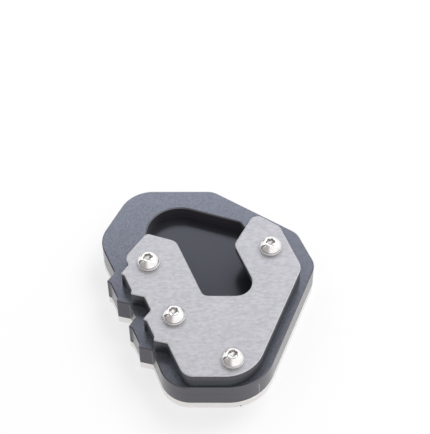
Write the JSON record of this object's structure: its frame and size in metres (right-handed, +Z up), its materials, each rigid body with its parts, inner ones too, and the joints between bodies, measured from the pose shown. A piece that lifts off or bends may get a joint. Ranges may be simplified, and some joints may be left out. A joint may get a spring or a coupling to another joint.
{
  "type": "kickstand foot enlarger",
  "caption": "Toothed stack of plates that clamps round the foot of a motorcycle side stand and widens its footprint on soft ground.",
  "frame": {"origin": "on the ground, under the middle of the plates' footprint", "axes": "+Z up from the ground, +Y to the open end of the leg slot, +X to the right seen from above with the slot's open end away; the teeth are on the -X side"},
  "size_m": [0.0972, 0.1076, 0.029],
  "materials": {
    "bare_aluminium": "milled, bare",
    "black_anodised_aluminium": "milled, black anodised, satin",
    "brushed_stainless_steel": "laser cut, finely brushed and blasted, matt",
    "zinc_plated_washer": "bright zinc plate",
    "bright_screw_steel": "bright, turned"
  },
  "bodies": {
    "root": {"sole_plate": "bare_aluminium", "base_plate": "black_anodised_aluminium", "spacer_plate": "black_anodised_aluminium", "top_plate": "brushed_stainless_steel", "clamp_washer_left": "zinc_plated_washer", "clamp_screw_left": "bright_screw_steel", "clamp_washer_flank": "zinc_plated_washer", "clamp_screw_flank": "bright_screw_steel", "clamp_washer_front": "zinc_plated_washer", "clamp_screw_front": "bright_screw_steel", "clamp_washer_right": "zinc_plated_washer", "clamp_screw_right": "bright_screw_steel", "sole_screw_rear_left": "bright_screw_steel", "sole_screw_rear_right": "bright_screw_steel", "sole_screw_front_left": "bright_screw_steel", "sole_screw_front_right": "bright_screw_steel"}
  },
  "joints": []
}
